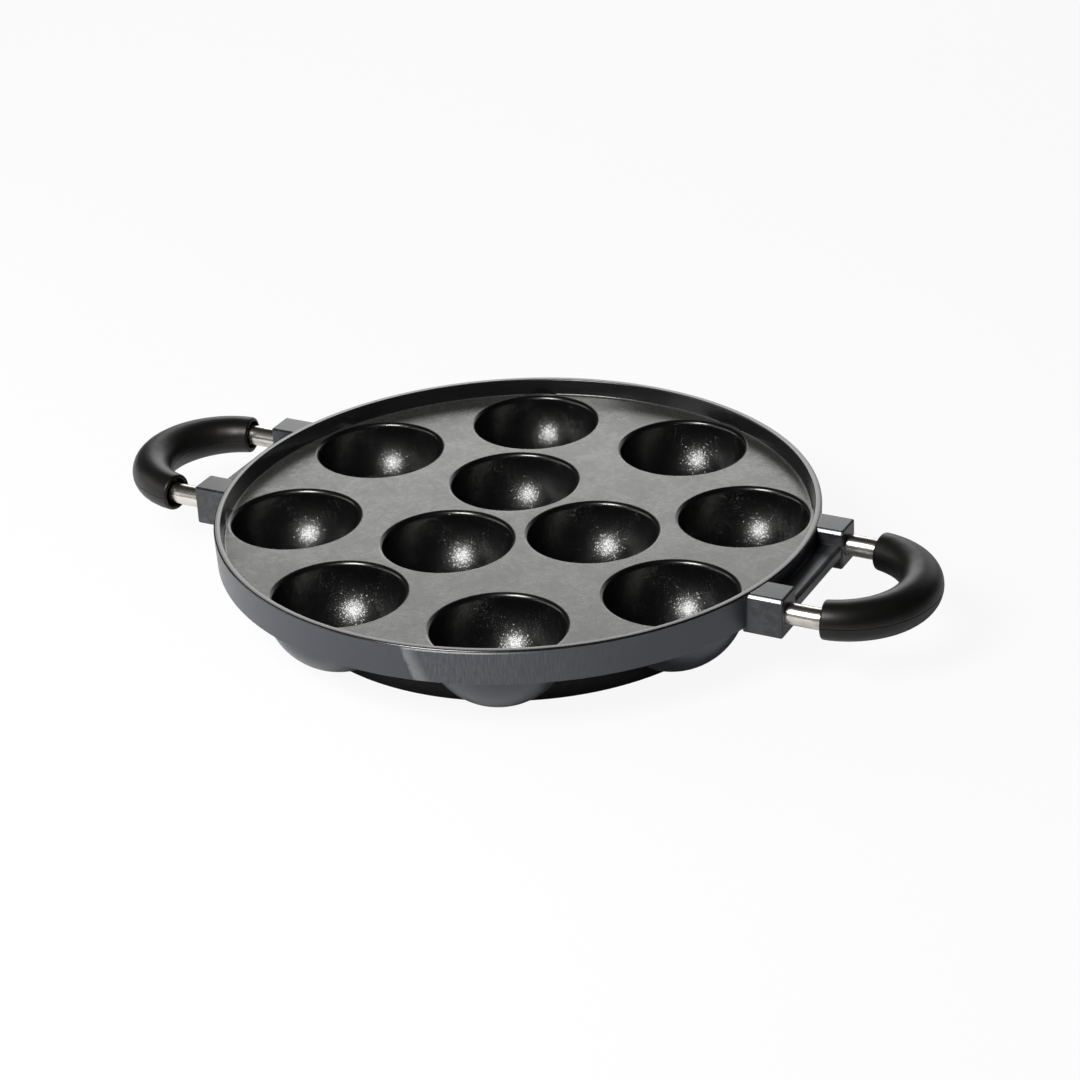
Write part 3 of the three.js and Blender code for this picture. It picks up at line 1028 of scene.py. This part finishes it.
def makeCamera(v):
    a, e = v["azimuth"], v["elevation"]
    back = Vector((math.sin(a) * math.cos(e), -math.cos(a) * math.cos(e), math.sin(e)))
    right = Vector((math.cos(a), math.sin(a), 0))
    up = back.cross(right)
    c, s = math.cos(v["roll"]), math.sin(v["roll"])
    across = c * right + s * up
    upward = c * up - s * right
    camera = bpy.data.objects.new("camera", bpy.data.cameras.new("camera"))
    bpy.context.scene.collection.objects.link(camera)
    camera.data.lens = v["lens"]
    camera.data.sensor_width = v["sensor"]
    camera.data.clip_start = v["clipStart"]
    turned = Matrix((across, upward, back)).transposed().to_4x4()
    camera.matrix_world = Matrix.Translation(v["target"] + back * v["distance"]) @ turned
    bpy.context.scene.camera = camera
    return back


toCamera = makeCamera(view)


# Studio: a white floor, pale paper behind the pan and dark above it, and soft lamps

studio = {
    "floorSize": 8.0,
    "floorLevel": -0.05 * mm,
    "floorCuts": 4,
    "floorColour": rgb(0.88, 0.88, 0.88),
    "floorLift": 0.92,
    "mirrorLift": 0.02,
    "ambient": 0.12,
    "dark": 0.01,
    "paper": 0.97,
    "paperBehind": (-0.1, 0.45),
    "paperTop": (0.58, 0.36),
    "paperRight": (-0.75, -0.4),
    "paperLeft": (0.38, 0.10),
    "sideWall": 0.15,
    "sideWallLeft": (0.1, 0.7),
    "sideWallTop": (0.3, 0.05),
}
studio["lamps"] = {  # the fill lamp is kept out of reflections, where it would glare
    "key": {"shape": "ELLIPSE", "at": (-0.074, -0.492, 0.526), "size": (0.30, 0.30),
            "power": 4.2, "mirrored": True},
    "back": {"shape": "RECTANGLE", "at": (-0.61, 1.229, 0.54), "size": (0.73, 0.70),
             "power": 2.5, "mirrored": True},
    "side": {"shape": "RECTANGLE", "at": (-1.10, -0.52, 0.36), "size": (1.20, 0.45),
             "power": 2.2, "mirrored": True},
    "fill": {"shape": "RECTANGLE", "at": (-0.75, -0.12, 0.26), "size": (0.5, 0.34),
             "power": 2.8, "mirrored": False},
}


# How far a ray sees the white setting: from the camera, or by way of a mirror or glass
def seenRay(f, camera, mirror):
    shown, mirrored, through = f.node("ShaderNodeLightPath", {}, {},
                                      ("Is Camera Ray", "Is Glossy Ray", "Is Transmission Ray"))
    return shown * camera + f.maths("MAXIMUM", mirrored, through) * mirror


def addLamp(name, lamp):
    data = bpy.data.lights.new(name, "AREA")
    data.shape = lamp["shape"]
    data.size, data.size_y = lamp["size"]
    data.energy = lamp["power"]
    made = bpy.data.objects.new(name, data)
    bpy.context.scene.collection.objects.link(made)
    made.location = lamp["at"]
    made.visible_glossy = lamp["mirrored"]
    made.rotation_euler = Vector(lamp["at"]).to_track_quat("Z", "Y").to_euler()


def makeFloor(s):
    clearSelection()
    bpy.ops.mesh.primitive_plane_add(size=s["floorSize"], location=(0, 0, s["floorLevel"]))
    floor = startPiece("floor")
    bpy.ops.mesh.subdivide(number_cuts=s["floorCuts"])
    bpy.ops.object.mode_set(mode="OBJECT")
    material = bpy.data.materials.new("floorPaper")
    f = Finish(material)
    paper = f.node("ShaderNodeBsdfDiffuse", {}, {"Color": s["floorColour"]})
    glow = f.node("ShaderNodeEmission", {}, {"Strength": 1.0})
    f.output(f.mixShader(seenRay(f, s["floorLift"], s["mirrorLift"]), paper, glow))
    dress(material, floor)


def makeWorld(s):
    world = bpy.data.worlds.new("studio")
    bpy.context.scene.world = world
    f = Finish(world)
    dx, dy, dz = f.split(f.coordinates("Generated"))
    behind = dx * -toCamera.x + dy * -toCamera.y
    leftward = dx * toCamera.y - dy * toCamera.x
    paper = f.ease(behind, *s["paperBehind"]) * f.ease(dz, *s["paperTop"])
    paper = paper * f.ease(leftward, *s["paperRight"]) * f.ease(leftward, *s["paperLeft"])
    sideWall = f.ease(leftward, *s["sideWallLeft"]) * f.ease(dz, *s["sideWallTop"]) * s["sideWall"]
    around = f.maths("MAXIMUM", paper, sideWall) * s["paper"] + s["dark"]
    seen = seenRay(f, 1.0, 1.0)
    lit = f.node("ShaderNodeMix", {"data_type": "FLOAT"}, {0: seen, 2: s["ambient"], 3: around})
    light = f.node("ShaderNodeBackground", {}, {"Color": rgb(1, 1, 1), "Strength": lit})
    f.output(light, "ShaderNodeOutputWorld")


makeFloor(studio)
makeWorld(studio)
for name, lamp in studio["lamps"].items():
    addLamp(name + "Lamp", lamp)
bpy.context.scene.view_settings.view_transform = "Standard"
print("studio and camera set")
